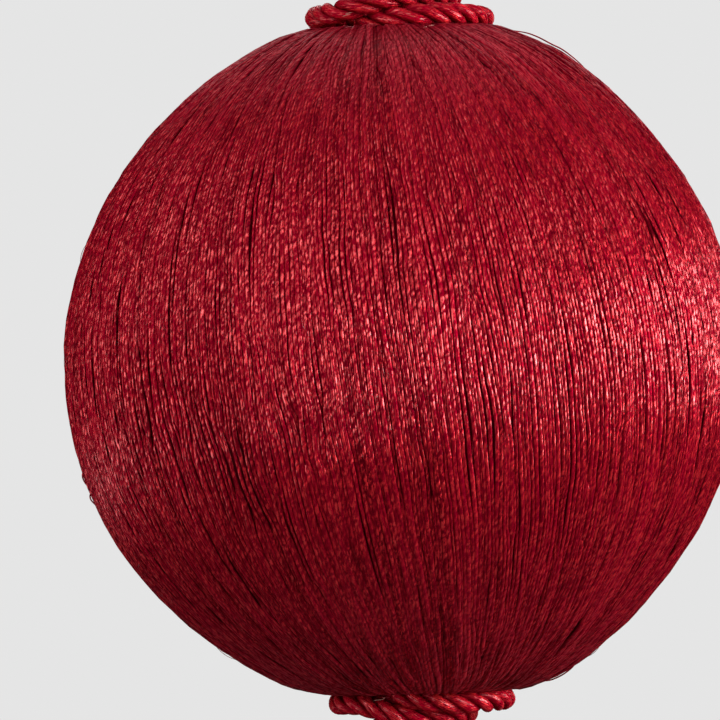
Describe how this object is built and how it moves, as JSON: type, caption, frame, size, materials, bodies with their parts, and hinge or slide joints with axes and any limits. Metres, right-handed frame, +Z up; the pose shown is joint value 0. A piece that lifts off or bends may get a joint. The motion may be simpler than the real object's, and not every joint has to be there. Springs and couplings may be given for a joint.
{
  "type": "silk tassel",
  "caption": "Hanging silk tassel: a ball wound with silk thread between two twisted rope collars, a rope loop above and a skirt of loose strands below.",
  "frame": {"origin": "the top of the hanging loop, where a hook, knob or cord holds the tassel", "axes": "+Z is up, along the tassel as it hangs plumb. The front looks to -Y, and +X is to the right seen from the front"},
  "size_m": [0.0699, 0.0698, 0.2564],
  "materials": {
    "wound_silk": "lustrous two-ply silk thread, wound side by side",
    "rope_silk": "bright satin silk rope of three strands",
    "loose_silk": "soft lustre of loose silk strands"
  },
  "bodies": {
    "root": {"ball": "wound_silk", "top_collar": "rope_silk", "bottom_collar": "rope_silk", "hanging_loop": "rope_silk", "skirt": "loose_silk"}
  },
  "joints": []
}
